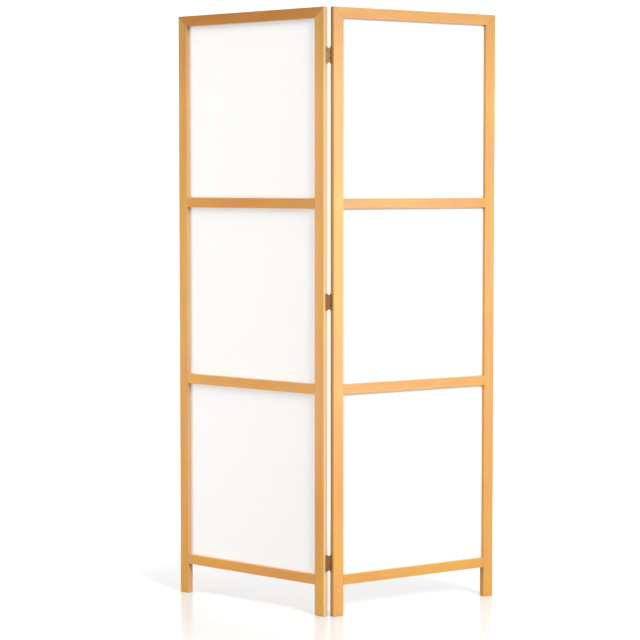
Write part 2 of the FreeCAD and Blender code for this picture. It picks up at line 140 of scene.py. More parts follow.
# %% Write shader sums as expressions
class Wire:
    """One output of a node, which can be used in sums."""

    def __init__(self, graph, socket):
        self.graph = graph
        self.socket = socket

    def other(self, name):
        """Another output of the same node."""
        return Wire(self.graph, self.socket.node.outputs[name])

    def __add__(self, value):
        return self.graph.maths("ADD", self, value)

    def __sub__(self, value):
        return self.graph.maths("SUBTRACT", self, value)

    def __rsub__(self, value):
        return self.graph.maths("SUBTRACT", value, self)

    def __mul__(self, value):
        return self.graph.maths("MULTIPLY", self, value)

    def __truediv__(self, value):
        return self.graph.maths("DIVIDE", self, value)

    def __rtruediv__(self, value):
        return self.graph.maths("DIVIDE", value, self)

    def __abs__(self):
        return self.graph.maths("ABSOLUTE", self)

    def root(self):
        return self.graph.maths("SQRT", self)

    def fraction(self):
        return self.graph.maths("FRACT", self)

    def least(self, value):
        return self.graph.maths("MINIMUM", self, value)

    def most(self, value):
        return self.graph.maths("MAXIMUM", self, value)

    __radd__ = __add__
    __rmul__ = __mul__


print("a wire can", ", ".join(name for name in vars(Wire) if name.isalpha()))

# %% [markdown]
# ## One method for every other node
#
# The other nodes come from one method as well. It adds a node of the given kind, sets it up, and then
# fills its sockets with numbers, colours or wires. The settings come first, because they decide which
# sockets a node has. Kinds that return often get a short method of their own: a mix of two colours,
# a smooth change between two numbers, soft noise and a bump.
#
# Noise rarely reaches 0 or 1. Most of its values lie in a span round the middle, so a change that is
# to follow it starts and ends there.

# %% Add nodes by their kind
NOISE_SPAN = (0.3, 0.7)
NOISE_MIDDLE = 0.5


def opaque(colour):
    """Gives a colour of three numbers the fourth that a socket needs, and leaves a wire as it is."""
    return colour if isinstance(colour, Wire) else (*colour, 1)


def set_stops(ramp, stops):
    """Puts a ramp's stops at the given places, each in its grey."""
    while len(ramp.elements) < len(stops):
        ramp.elements.new(1)
    for element, (place, grey) in zip(ramp.elements, stops):
        element.position = place
        element.color = (grey, grey, grey, 1)


class Graph:
    """The nodes of a material or of the world."""

    def __init__(self, owner):
        owner.use_nodes = True
        owner.node_tree.nodes.clear()
        self.owner = owner
        self.tree = owner.node_tree

    def add(self, kind, settings=(), inputs=(), output=0):
        """Adds a node, sets it up, fills its sockets and gives one of its outputs, if it has any."""
        made = self.tree.nodes.new(f"ShaderNode{kind}")
        for name, value in dict(settings).items():
            if name == "stops":
                set_stops(made.color_ramp, value)
            else:
                setattr(made, name, value)
        for name, value in dict(inputs).items():
            if isinstance(value, Wire):
                self.tree.links.new(value.socket, made.inputs[name])
            else:
                made.inputs[name].default_value = value
        return Wire(self, made.outputs[output]) if made.outputs else None

    def maths(self, operation, *values):
        """A Math node."""
        return self.add("Math", {"operation": operation}, dict(enumerate(values)))

    def mix(self, factor, first, second, blend="MIX"):
        """Mixes two colours."""
        settings = {"data_type": "RGBA", "blend_type": blend}
        return self.add("Mix", settings, {0: factor, 6: opaque(first), 7: opaque(second)}, output=2)

    def fade(self, value, start, end, low=1, high=0):
        """Goes smoothly from low at start to high at end."""
        places = {"From Min": start, "From Max": end, "To Min": low, "To Max": high}
        return self.add("MapRange", {"interpolation_type": "SMOOTHSTEP"}, {"Value": value, **places})

    def noise(self, vector, scale=1, detail=2, roughness=0.5):
        """Soft noise from 0 to 1."""
        return self.add("TexNoise", {}, {
            "Vector": vector, "Scale": scale, "Detail": detail, "Roughness": roughness,
        })

    def bump(self, height, distance, strength=1):
        """A normal that follows a height, which is a share of the distance."""
        return self.add("Bump", {}, {"Height": height, "Distance": distance, "Strength": strength})

    def principled(self, **inputs):
        """A Principled shader. Words in its inputs' names are joined by underscores."""
        named = {name.replace("_", " "): value for name, value in inputs.items()}
        return self.add("BsdfPrincipled", {}, named)

    def end(self, shader, kind="OutputMaterial"):
        """Ends the graph in that shader and gives its owner."""
        self.add(kind, {}, {"Surface": shader})
        return self.owner


def new_finish(name):
    """An empty graph for a new material."""
    return Graph(bpy.data.materials.new(name))


print("a graph can", ", ".join(name for name in vars(Graph) if name.isalpha()))

# %% [markdown]
# ## The room
#
# The picture was made on a white sweep. The paper behind the screen is lit until it is pure white,
# and the camera's side of the room is darker. The world is given this change by how far each
# direction points backwards, from -1 straight to the front to 1 straight to the back. Only the light
# that falls on things has it: the camera sees white on every side, so that the back view is as clean
# as the front one. The standard view keeps whites white.

# %% Light the sweep
SWEEP_STRENGTH = 1.30
ROOM_STRENGTH = 0.66
SEEN_STRENGTH = 1.05
ROOM_ENDS = -0.15
SWEEP_STARTS = 0.35


def light_world():
    """A world that lights the screen more from behind, and that the camera sees as plain white."""
    sky = Graph(bpy.data.worlds.new("white sweep"))
    direction = sky.add("TexCoord", output="Generated")
    backwards = sky.add("SeparateXYZ", {}, {0: direction}, output="Y")
    lighting = sky.fade(backwards, ROOM_ENDS, SWEEP_STARTS, low=ROOM_STRENGTH, high=SWEEP_STRENGTH)
    seen = sky.add("LightPath", output="Is Camera Ray")
    strength = lighting.most(seen * SEEN_STRENGTH)
    background = sky.add("Background", {}, {"Color": opaque((1, 1, 1)), "Strength": strength})
    return sky.end(background, "OutputWorld")


bpy.context.scene.world = light_world()
bpy.context.scene.view_settings.view_transform = "Standard"
print(f"the sweep is {SWEEP_STRENGTH / ROOM_STRENGTH:.1f} times as bright as the room")

# %% [markdown]
# ## The lamps
#
# Shadows tell where the key lamp hangs. It lights the right panel squarely and only brushes the left
# one, so it is well to the right. It reaches the hinge edge of the left panel but not that of the
# right one, and under each rail it leaves a short shadow, so it is a little above. A tall, weak lamp
# far to the right puts a pale sheen on the right panel, because its reflection there reaches the
# camera. A fill from the left lights the left panel and can't see into the hinge line; it is kept out
# of reflections, as a polarised lamp would be. One overhead keeps the shadows on the floor pale.
#
# The lamps are large, because a large lamp gives soft shadows.

# %% Hang the lamps
AIM = Vector((0, 0, 0.55 * PANEL_HEIGHT))


def add_lamp(name, direction, distance, size, watts, colour=(1, 1, 1)):
    """An area lamp of that width and height, in that direction from the screen, which it faces."""
    direction = Vector(direction).normalized()
    lamp = bpy.data.lights.new(name, "AREA")
    lamp.shape = "RECTANGLE"
    lamp.size, lamp.size_y = size
    lamp.energy = watts
    lamp.color = colour
    lamp_object = bpy.data.objects.new(name, lamp)
    lamp_object.location = AIM + direction * distance
    lamp_object.rotation_euler = direction.to_track_quat("Z", "Y").to_euler()
    bpy.context.scene.collection.objects.link(lamp_object)
    return lamp_object


add_lamp(
    "key_lamp", direction=(0.511, -0.730, 0.454), distance=8.4, size=(1.95, 1.95), watts=422,
    colour=(1, 0.98, 0.95),
)
add_lamp("sheen_lamp", direction=(0.936, -0.352, 0.012), distance=4.8, size=(1.35, 2.2), watts=49)
fill_lamp = add_lamp(
    "fill_lamp", direction=(-0.98, -0.16, -0.12), distance=4.8, size=(1.5, 1.5), watts=116,
)
fill_lamp.visible_glossy = False
add_lamp("overhead_lamp", direction=(0, -0.20, 1), distance=3.8, size=(2.2, 2.2), watts=16)
print(len(bpy.data.lights), "lamps hang round the screen")

# %% [markdown]
# ## Along the grain
#
# Wood's pattern runs along its board. So a finish reads the place of each point in the model, turns
# it into the panel's own axes, and sorts it into along the board, across it and into it. That place
# rides with the piece, and the pattern stays on the wood when the screen is folded.
#
# Noise for wood is drawn out: its features are short across the board and long along it. Each board
# reads the noise from a starting point of its own, so that no two look alike.

# %% Find the places along a board
NOISE_LENGTH = 40
chance = random.Random(11)


def panel_places(finish, side):
    """The place of each point as u, v and z, in metres."""
    return finish.add("Mapping", {"vector_type": "POINT"}, {
        "Vector": finish.add("TexCoord", output="Object"),
        "Scale": (SIDES[side], 1, 1),
        "Rotation": (0, 0, -FOLD),
        "Location": -PANEL_CORNER,
    })


class Grain:
    """The places of the points of one board, sorted by its grain."""

    def __init__(self, finish, side, box, upright):
        self.finish = finish
        self.u = finish.add("SeparateXYZ", {}, {0: panel_places(finish, side)})
        self.v, self.z = self.u.other("Y"), self.u.other("Z")
        self.along, self.across = (self.z, self.u) if upright else (self.u, self.z)
        axis = 0 if upright else 2
        self.low, self.high = (corner[axis] for corner in box)
        self.start = chance.uniform(0, NOISE_LENGTH)

    def noise(self, scales, detail=2):
        """Noise of so many features a metre along the board, and so many across it."""
        along_scale, across_scale = scales
        place = self.finish.add("CombineXYZ", {}, {
            0: self.along * along_scale + self.start,
            1: self.across * across_scale,
            2: self.v * across_scale,
        })
        return self.finish.noise(place, detail=detail)


print(f"the boards are {BOARD / MM:.0f} mm thick, and their grain runs their whole length")

# %% [markdown]
# ## Growth rings
#
# Pine is striped because each year's growth has a pale early part and a narrow dark late part. A
# board is a slice through a nest of tubes, so the same rule that draws rings on its end draws long
# lines on its faces: take the distance from the tree's heart, which lies beside the board, and repeat
# a pale-to-dark ramp along it. Slow noise bends the heart, and the lines wander as they do in a real
# tree. Each board has a heart of its own.

# %% Draw the rings
RING_SPACING = 2.6 * MM
RING_WANDER = 5 * MM
HEART_WANDER = 20 * MM
HEART_WIDTHS_OFF = (-1.2, 2.2)
HEART_BOARDS_DEEP = (1.5, 4)
BEND_SCALES = (2.2, 9)
LATE_STOPS = ((0, 0), (0.45, 0.08), (0.82, 1), (0.95, 0))


def slow_bend(grain):
    """Slow noise from -0.5 to 0.5, which bends the heart."""
    return grain.noise(BEND_SCALES, detail=3) - NOISE_MIDDLE


def late_wood(grain, bend):
    """How far each point is late wood, from 0 to 1."""
    heart_across = grain.low + chance.uniform(*HEART_WIDTHS_OFF) * (grain.high - grain.low)
    heart_depth = chance.choice((-1, 1)) * chance.uniform(*HEART_BOARDS_DEEP) * BOARD
    width = grain.across - heart_across + bend * HEART_WANDER
    depth = grain.v - heart_depth
    radius = (width * width + depth * depth).root() + bend * RING_WANDER
    ring = (radius / RING_SPACING).fraction()
    return grain.finish.add("ValToRGB", {"stops": LATE_STOPS}, {0: ring})


print(f"rings {RING_SPACING / MM:.1f} mm apart")

# %% [markdown]
# ## The varnish's colour
#
# Honey-coloured varnish lies over the rings. It drifts slowly towards red, and it has soft patches,
# some rosy and some more yellow, where the wood took up more of it or less. Streaks along the grain
# let the late wood show more in some lines than in others.
#
# Fine fibres make the tone flicker, and painted shade darkens the uppermost part of each panel.

# %% Colour the varnish
STREAK_SCALES = (3, 160)
FIBRE_SCALES = (16, 1400)
PATCH_SCALES = (5, 14)
PATCH_SPAN = (0.38, 0.62)
EARLY_WOOD = (0.755, 0.390, 0.103)
LATE_WOOD = (0.600, 0.262, 0.050)
LATE_SHARES = {"low": 0.22, "high": 0.62}
RED_DRIFT = (0.620, 0.235, 0.030)
DRIFT_SPAN = (-0.2, 0.25)
DRIFT_SHARE = 0.35
ROSY_TINT = (0.988, 0.950, 1.095)
HONEY_TINT = (1.012, 1.042, 0.885)
FIBRE_CONTRAST = 0.14
# Painted shade: how far down from the top of each panel it reaches, and the tone at the top.
PAINTED_SHADE_HEIGHT = 0.30
PAINTED_SHADE_TONE = 0.78


def varnish_colour(grain, late, streak, bend, red):
    """Wood under varnish, with that much red added to its drift."""
    finish = grain.finish
    late_share = late * finish.fade(streak, *NOISE_SPAN, **LATE_SHARES)
    colour = finish.mix(late_share, EARLY_WOOD, LATE_WOOD)
    drift = finish.fade(bend, *DRIFT_SPAN, low=0, high=DRIFT_SHARE) + red
    colour = finish.mix(drift, colour, RED_DRIFT)
    patch = finish.fade(grain.noise(PATCH_SCALES), *PATCH_SPAN, low=0, high=1)
    tint = finish.mix(patch, ROSY_TINT, HONEY_TINT)
    return finish.mix(1, colour, tint, "MULTIPLY")


def toned(grain, colour, fibre, shade):
    """The colour with its fibres, darker or lighter by the board's shade, and with painted shade
    towards the top.
    """
    finish = grain.finish
    # Painted shade: the colour grows darker over the uppermost part of each panel.
    dark_from = PANEL_HEIGHT - PAINTED_SHADE_HEIGHT
    top_shade_factor = finish.fade(grain.z, dark_from, PANEL_HEIGHT, low=1, high=PAINTED_SHADE_TONE)
    tone = (1 - FIBRE_CONTRAST / 2 + fibre * FIBRE_CONTRAST) * shade * top_shade_factor
    grey = finish.add("CombineXYZ", {}, {0: tone, 1: tone, 2: tone})
    return finish.mix(1, colour, grey, "MULTIPLY")


# How far down the painted shade at the top of each panel reaches.
print("painted_top_shade reaches", PAINTED_SHADE_HEIGHT, "m down each panel")

# %% [markdown]
# ## Edges and joints
#
# A board shows how it was worked. Its arrises are rubbed pale. On the left stiles the narrow face on
# the hinge side gets a painted highlight, pale and less saturated, and on the right hinge stile it
# gets a painted shade. Where two boards meet, glue fills a fine dark line: along the slope of the
# mitre at the upper corners, and along the stile's inner edge for the butted rails.
#
# Such marks could be painted on an image, but a distance from the edge or the joint draws them
# sharply at any size. Each is full up to the first distance of its span, and gone at the second.

# %% Mark the edges and joints
RUBBED_SPAN = (0.32 * MM, 1.6 * MM)
RUBBED_WOOD = (0.810, 0.500, 0.195)
RUBBED_SHARE = 0.7
EDGE_SPAN = (0.48 * MM, 1.2 * MM)
# Painted highlight and painted shade for a stile's narrow face on the hinge side.
PAINTED_EDGE_HIGHLIGHT = (0.825, 0.605, 0.360)
PAINTED_EDGE_SHADE = (0.430, 0.200, 0.050)
JOINT_SPAN = (0.24 * MM, 0.8 * MM)
GLUE = (0.180, 0.072, 0.020)
MITRE_GLUE_SHARE = 0.4
BUTT_GLUE_SHARE = 0.75


def rubbed_arrises(grain):
    """1 on the long arrises, and 0 a little way in from them."""
    from_side = (grain.across - grain.low).least(grain.high - grain.across)
    from_face = grain.v.least(BOARD - grain.v)
    return grain.finish.fade(from_side.most(from_face), *RUBBED_SPAN)


def painted_edge_light(grain, colour, edge_highlight, edge_shade):
    """The colour with a painted highlight or a painted shade on the face towards the hinge line, by
    those shares.
    """
    edge = grain.finish.fade(grain.across - grain.low, *EDGE_SPAN)
    for share, edge_colour in ((edge_highlight, PAINTED_EDGE_HIGHLIGHT), (edge_shade, PAINTED_EDGE_SHADE)):
        if share:
            colour = grain.finish.mix(edge * share, colour, edge_colour)
    return colour


def from_mitre(grain):
    """The distance from the line between the panel's upper corner and its opening's."""
    slope = math.hypot(STILE_WIDTH, TOP_RAIL_HEIGHT)
    from_edge = grain.u.least(PANEL_WIDTH - grain.u)
    from_top = grain.z - PANEL_HEIGHT
    return abs(from_edge * (TOP_RAIL_HEIGHT / slope) + from_top * (STILE_WIDTH / slope))


def from_butt(grain):
    """The distance from the nearer stile's inner edge."""
    far_edge = PANEL_WIDTH - STILE_WIDTH
    return abs(grain.u - STILE_WIDTH).least(abs(grain.u - far_edge))


def glued(grain, colour, mitred):
    """The colour with a line of glue at the board's joints."""
    distance = from_mitre(grain) if mitred else from_butt(grain)
    share = MITRE_GLUE_SHARE if mitred else BUTT_GLUE_SHARE
    line = grain.finish.fade(distance, *JOINT_SPAN)
    return grain.finish.mix(line * share, colour, GLUE)


print(f"glue lines reach {JOINT_SPAN[1] / MM:.1f} mm from each joint")

# %% [markdown]
# ## The pine
#
# The pine lays these over each other: rings, varnish, edges, fibres, rubbed arrises and glue. A satin
# varnish is a soft gloss with a thin clear coat over it, and the grain stands up through it by less
# than a tenth of a millimetre.

# %% Mix the varnished pine
GRAIN_HEIGHT = 0.06 * MM
SATIN_ROUGHNESS = {"low": 0.30, "high": 0.46}


def pine(name, side, box, upright, mitred=False, shade=1.0, red=0.0, edge_highlight=0.0, edge_shade=0.0):
    """Varnished pine for the board in that box, with its grain along the board."""
    finish = new_finish(name)
    grain = Grain(finish, side, box, upright)
    bend = slow_bend(grain)
    late = late_wood(grain, bend)
    fibre = grain.noise(FIBRE_SCALES, detail=3)
    streak = grain.noise(STREAK_SCALES)
    rubbed = rubbed_arrises(grain)
    colour = varnish_colour(grain, late, streak, bend, red)
    # Painted highlight or painted shade on the narrow face towards the hinge line.
    colour = painted_edge_light(grain, colour, edge_highlight, edge_shade)
    colour = toned(grain, colour, fibre, shade)
    colour = finish.mix(rubbed * streak * RUBBED_SHARE, colour, RUBBED_WOOD)
    relief = fibre * 0.4 + late * 0.3 + streak * 0.3
    return finish.end(finish.principled(
        Base_Color=glued(grain, colour, mitred),
        Roughness=finish.fade(streak + rubbed * 0.3, 0.2, 1.0, **SATIN_ROUGHNESS),
        Normal=finish.bump(relief, GRAIN_HEIGHT, 0.5),
        Specular_IOR_Level=0.35,
        Coat_Weight=0.3,
        Coat_Roughness=0.16,
    ))


print(f"the grain stands {GRAIN_HEIGHT / MM:.2f} mm high")

# %% [markdown]
# ## Boards and beads
#
# Every board gets its own pine, because no two were cut from the same place in a tree. Its shade makes
# it lighter or darker, and red adds to the drift towards red. The left top rail is a redder piece than
# its neighbours. The left stiles get a painted highlight on their narrow face on the hinge side, and
# the right hinge stile gets a painted shade there.
#
# The beads behind the sheets are slim strips of one kind, so the three that lie on the same side of
# their sheets share a pine.

# %% Give each board its pine
STILES = ("hinge_stile", "outer_stile")
RAILS = ("top_rail", "upper_middle_rail", "lower_middle_rail", "bottom_rail")
UPRIGHT_BEADS = ("hinge", "outer")
LEVEL_BEADS = ("top", "bottom")
PANES = ("upper", "middle", "lower")
# Besides its own shade and red, a board may carry a painted highlight or a painted shade on its narrow
# face on the hinge side.
BOARD_LOOKS = {
    "left_hinge_stile": {"shade": 1.01, "edge_highlight": 0.8},
    "left_outer_stile": {"shade": 0.94, "red": 0.06, "edge_highlight": 0.25},
    "left_top_rail": {"shade": 0.96, "red": 0.75},
    "left_upper_middle_rail": {"shade": 0.94, "red": 0.45},
    "left_lower_middle_rail": {"shade": 0.99, "red": 0.06},
    "left_bottom_rail": {"shade": 1.00, "red": 0.20},
    "right_hinge_stile": {"shade": 1.06, "edge_shade": 0.45},
    "right_outer_stile": {"shade": 0.97, "red": 0.03},
    "right_top_rail": {"shade": 1.07, "red": 0.10},
    "right_upper_middle_rail": {"shade": 0.88, "red": 0.06},
    "right_lower_middle_rail": {"shade": 0.97, "red": 0.06},
    "right_bottom_rail": {"shade": 0.97, "red": 0.06},
}
BEAD_LOOK = {"shade": 0.95, "red": 0.1}


def coat(piece, material):
    """Puts one material on the whole piece."""
    piece.data.materials.clear()
    piece.data.materials.append(material)


def coat_board(side, board):
    """Gives one board a pine of its own."""
    node = f"{side}_{board}"
    upright = board in STILES
    mitred = upright or board == "top_rail"
    box = panel_box(f"right_{board}")
    coat(frame["nodes"][node], pine(f"pine_{node}", side, box, upright, mitred, **BOARD_LOOKS[node]))


def coat_beads(side, place):
    """Gives the beads at one side of the three sheets a pine that they share."""
    box = panel_box(f"right_middle_{place}_bead")
    material = pine(f"pine_{side}_{place}_bead", side, box, place in UPRIGHT_BEADS, **BEAD_LOOK)
    for pane in PANES:
        coat(frame["nodes"][f"{side}_{pane}_{place}_bead"], material)


for side in SIDES:
    for board in STILES + RAILS:
        coat_board(side, board)
    for place in UPRIGHT_BEADS + LEVEL_BEADS:
        coat_beads(side, place)
print(len(bpy.data.materials), "materials so far")

# %% [markdown]
# ## The splines
#
# A thin tongue of beech holds each mitre. It is glued into slots and doesn't show, but it is a part
# of the screen, so it has the close, pale grain of bare beech.

# %% Give the splines bare beech
BEECH = (0.60, 0.40, 0.22)
BEECH_FLECK = (0.42, 0.25, 0.12)
FLECK_SCALES = (700, 700, 90)
FLECK_SPAN = (0.5, 0.75)


def bare_beech():
    """Pale beech without varnish."""
    finish = new_finish("bare_beech")
    places = finish.add("TexCoord", output="Object")
    fleck = finish.noise(finish.add("Mapping", {}, {"Vector": places, "Scale": FLECK_SCALES}))
    flecked = finish.fade(fleck, *FLECK_SPAN, low=0, high=1)
    return finish.end(finish.principled(
        Base_Color=finish.mix(flecked, BEECH, BEECH_FLECK),
        Roughness=finish.fade(fleck, *NOISE_SPAN, low=0.6, high=0.75),
        Normal=finish.bump(fleck, 0.05 * MM),
    ))


beech_material = bare_beech()
for side in SIDES:
    coat(frame["nodes"][f"{side}_mitre_splines"], beech_material)
print("both panels' splines are", beech_material.name)

# %% [markdown]
# ## Building pieces
#
# A new piece is shaped in a bmesh, in the right panel's own axes, and then moved to its place in
# the model. The left-hand copy is mirrored on the way, which turns its faces inside out, so they
# are turned back.

# %% Make a piece from a bmesh
def make_piece(name, shape, side, material):
    """Puts a shape given in panel axes on its panel, and makes it a piece that rides there."""
    shape.transform(panel_matrix(side))
    if SIDES[side] < 0:
        bmesh.ops.reverse_faces(shape, faces=shape.faces)
    mesh = bpy.data.meshes.new(name)
    shape.to_mesh(mesh)
    shape.free()
    piece = bpy.data.objects.new(name, mesh)
    bpy.context.scene.collection.objects.link(piece)
    coat(piece, material)
    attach(piece, f"{side}_panel")
    return piece


# %% [markdown]
# ## The sheet's finish
#
# The infill is a white non-woven fibre sheet, like strong paper. Close up it is a felt of fine
# fibres with small clouds where they lie thicker. Light goes through it and spreads, so the shader
# scatters some light under the surface. That makes the sheet glow when a lamp stands behind it.

# %% Mix the fibre sheet
SHEET_WHITE = (0.916, 0.906, 0.893)
SHEET_CLOUD = (0.899, 0.888, 0.874)


def fibre_sheet():
    """White non-woven sheet."""
    finish = new_finish("white_fibre_sheet")
    place = finish.add("TexCoord", output="Object")
    cloud = finish.noise(place, scale=55, detail=4, roughness=0.6)
    fibre = finish.noise(place, scale=1900)
    strand = finish.add("TexWave", {"wave_type": "BANDS"}, {
        "Vector": place, "Scale": 160, "Distortion": 24, "Detail": 3, "Detail Scale": 1.6,
    }, output="Fac")
    thick = finish.fade(cloud * 0.6 + strand * 0.25 + fibre * 0.15, *NOISE_SPAN, low=0, high=1)
    return finish.end(finish.principled(
        Base_Color=finish.mix(thick, SHEET_WHITE, SHEET_CLOUD),
        Roughness=finish.fade(cloud, *NOISE_SPAN, low=0.72, high=0.85),
        Normal=finish.bump(fibre * 0.8 + strand * 0.2, 0.03 * MM, 0.5),
        Subsurface_Weight=0.7,
        Subsurface_Radius=(1, 1, 1),
        Subsurface_Scale=0.8 * MM,
        Sheen_Weight=0.1,
    ))


sheet_material = fibre_sheet()
print("the sheet is", sheet_material.name)

# %% [markdown]
# ## Waves in a sheet
#
# Each sheet is cut a little larger than its opening, laid in the rebate and pressed there by four
# beads. It is pulled as flat as hands can pull it, which leaves long shallow waves less than a
# millimetre deep. They die out at the beads.
#
# A simulation could find such waves, but they are so low that a sum of a few cosines does it.

# %% Sum the waves
WAVE_HEIGHT = 0.45 * MM
CAUGHT_WIDTH = 9 * MM
WAVE_RISE = 54 * MM


def wave(u_share, z_share, phase):
    """The waves of a hand-pulled sheet, from about -1 to 1."""
    upright_folds = math.cos(math.tau * (2.1 * u_share + 0.4 * z_share) + phase)
    level_folds = math.cos(math.tau * (0.7 * u_share - 1.6 * z_share) + 2 * phase)
    corner_folds = math.cos(math.tau * 3.2 * (u_share - z_share) + phase)
    corner_folds *= 2 * u_share - 1
    corner_folds *= 2 * z_share - 1
    return 0.45 * upright_folds + 0.35 * level_folds + 0.2 * corner_folds


def slack(from_edge):
    """How free the sheet is, from 0 where the beads press it to 1 well inside them."""
    share = min(max((from_edge - CAUGHT_WIDTH) / WAVE_RISE, 0), 1)
    return share * share * (3 - 2 * share)


print(f"the sheet is free {(CAUGHT_WIDTH + WAVE_RISE) / MM:.0f} mm in from its edge")

# %% [markdown]
# ## Stretched sheets
#
# A grid is laid as large as the sheet, stood up, and moved in and out by those waves. A Solidify
# modifier gives it its thickness. The finished sheet takes the place of the flat solid, rides on the
# same panel and rests on its four beads.

# %% Stretch the sheets
SHEET_STEP = 9 * MM
SHEET_THICKNESS = 0.3 * MM
SHEET_DEPTH = sum(corner.y for corner in panel_box("right_middle_sheet")) / 2


def waved_grid(low, high):
    """A grid between those corners, moved in and out by its waves."""
    size = high - low
    middle = (low + high) / 2
    phase = chance.uniform(0, math.tau)
    shape = bmesh.new()
    columns = round(size.x / SHEET_STEP)
    rows = round(size.z / SHEET_STEP)
    bmesh.ops.create_grid(shape, x_segments=columns, y_segments=rows, size=0.5)
    bmesh.ops.scale(shape, vec=(size.x, size.z, 1), verts=shape.verts)
    bmesh.ops.rotate(shape, matrix=Matrix.Rotation(math.pi / 2, 3, "X"), verts=shape.verts)
    for vertex in shape.verts:
        from_edge = min(size.x / 2 - abs(vertex.co.x), size.z / 2 - abs(vertex.co.z))
        u_share = vertex.co.x / size.x + 0.5
        z_share = vertex.co.z / size.z + 0.5
        vertex.co.y = WAVE_HEIGHT * slack(from_edge) * wave(u_share, z_share, phase)
    bmesh.ops.translate(shape, vec=(middle.x, SHEET_DEPTH, middle.z), verts=shape.verts)
    for face in shape.faces:
        face.smooth = True
    return shape


def stretch_sheet(side, pane):
    """The sheet of one pane, held all round. Gives its flat size."""
    low, high = panel_box(f"right_{pane}_sheet")
    size = high - low
    name = f"{side}_{pane}_fibre_sheet"
    piece = make_piece(name, waved_grid(low, high), side, sheet_material)
    thickness = piece.modifiers.new("thickness", "SOLIDIFY")
    thickness.thickness = SHEET_THICKNESS
    thickness.offset = 0
    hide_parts(f"{side}_{pane}_sheet")
    return size


for side in SIDES:
    for pane in PANES:
        sheet_size = stretch_sheet(side, pane)
        print(f"{side} {pane} sheet {sheet_size.x / MM:.0f} by {sheet_size.z / MM:.0f} mm")

# %% [markdown]
# ## The hinges' finish
#
# The hinges are pressed from brass sheet and browned in a bath, which leaves the metal dark in its
# hollows and paler where fingers and the fold rub it. Two noises do it: a cloudy one for the bath and
# a fine one, drawn out along the rolling direction, for the brushed surface.
#
# One leaf, the upper one of the left panel, is paler all over: a painted highlight. The pins are
# steel.

# %% Mix the browned brass
BROWNED_BRASS = ((0.400, 0.195, 0.045), (0.620, 0.370, 0.130))
# Painted highlight: a paler brass for one leaf.
PAINTED_HIGHLIGHT_BRASS = ((0.50, 0.36, 0.19), (0.68, 0.52, 0.30))
BRONZED_STEEL = ((0.20, 0.14, 0.08), (0.45, 0.36, 0.24))
BRUSHED_SCALES = (5200, 5200, 260)
PALE_SPAN = (0.42, 0.72)


def browned_metal(name, colours, metallic=0.5):
    """Slightly cloudy metal with a brushed surface, in a dark and a pale colour."""
    dark, pale = colours
    finish = new_finish(name)
    place = finish.add("TexCoord", output="Object")
    cloud = finish.noise(place, scale=240, detail=4, roughness=0.65)
    brushed = finish.noise(finish.add("Mapping", {}, {"Vector": place, "Scale": BRUSHED_SCALES}))
    pale_share = finish.fade(cloud * 0.75 + brushed * 0.25, *PALE_SPAN, low=0, high=1)
    return finish.end(finish.principled(
        Base_Color=finish.mix(pale_share, dark, pale),
        Metallic=metallic,
        Roughness=finish.fade(cloud + brushed * 0.4, 0.3, 1.0, low=0.58, high=0.44),
        Normal=finish.bump(brushed, 0.02 * MM, 0.5),
    ))


leaf_material = browned_metal("browned_brass", BROWNED_BRASS)
highlight_leaf_material = browned_metal("painted_highlight_brass", PAINTED_HIGHLIGHT_BRASS)
pin_material = browned_metal("bronzed_steel", BRONZED_STEEL)
for level in PANES:
    for side in SIDES:
        coat(frame["nodes"][f"{level}_hinge_{side}_leaf"], leaf_material)
    coat(frame["nodes"][f"{level}_hinge_pin"], pin_material)
# Painted highlight: the upper left leaf gets the paler brass.
coat(frame["nodes"]["upper_hinge_left_leaf"], highlight_leaf_material)
print("six leaves and three pins have their metal")

# %% [markdown]
# ## The screw's head
#
# Two countersunk screws with cross recesses hold each leaf. The recess starts as a small disc inside
# the flat of the head. Four planes cut the disc, and the cross between them is pushed in, a little
# narrower at its floor as the driver's tip is.

# %% Cut a cross recess
SCREW_SEGMENTS = 24
HEAD_RADIUS = 2.45 * MM
HEAD_EASING = 0.12 * MM
FLAT_RADIUS = HEAD_RADIUS - HEAD_EASING
CROSS_REACH = 1.35 * MM
CROSS_HALF_WIDTH = 0.32 * MM
CROSS_DEPTH = 0.75 * MM
CROSS_TAPER = 0.7


def only(kind, parts):
    """Those of a bmesh operator's results that are of one kind."""
    return [part for part in parts if isinstance(part, kind)]


def disc_faces(screw):
    """The faces of the disc that the cross is cut from."""
    return [face for face in screw.faces if face.calc_center_median().length < CROSS_REACH]


def in_cross(face):
    """Whether a face of the disc lies between two facing planes."""
    middle = face.calc_center_median()
    return min(abs(middle.x), abs(middle.y)) < CROSS_HALF_WIDTH


def cut_disc(screw, normal, offset):
    """Cuts the disc by a plane."""
    faces = disc_faces(screw)
    geometry = faces + list({edge for face in faces for edge in face.edges})
    geometry += list({vertex for face in faces for vertex in face.verts})
    bmesh.ops.bisect_plane(screw, geom=geometry, plane_co=Vector(normal) * offset, plane_no=normal)


def add_head_flat(screw):
    """Adds the flat of the head, with a cross pushed into it along Z."""
    bmesh.ops.create_circle(screw, cap_ends=True, segments=SCREW_SEGMENTS, radius=FLAT_RADIUS)
    bmesh.ops.inset_region(
        screw, faces=screw.faces[:], thickness=FLAT_RADIUS - CROSS_REACH,
        use_boundary=True, use_even_offset=True,
    )
    for normal in ((1, 0, 0), (0, 1, 0)):
        for offset in (-CROSS_HALF_WIDTH, CROSS_HALF_WIDTH):
            cut_disc(screw, normal, offset)
    cross = [face for face in disc_faces(screw) if in_cross(face)]
    pushed = bmesh.ops.extrude_face_region(screw, geom=cross)
    bmesh.ops.delete(screw, geom=cross, context="FACES")
    floor = only(bmesh.types.BMVert, pushed["geom"])
    bmesh.ops.translate(screw, vec=(0, 0, CROSS_DEPTH), verts=floor)
    bmesh.ops.scale(screw, vec=(CROSS_TAPER, CROSS_TAPER, 1), verts=floor)


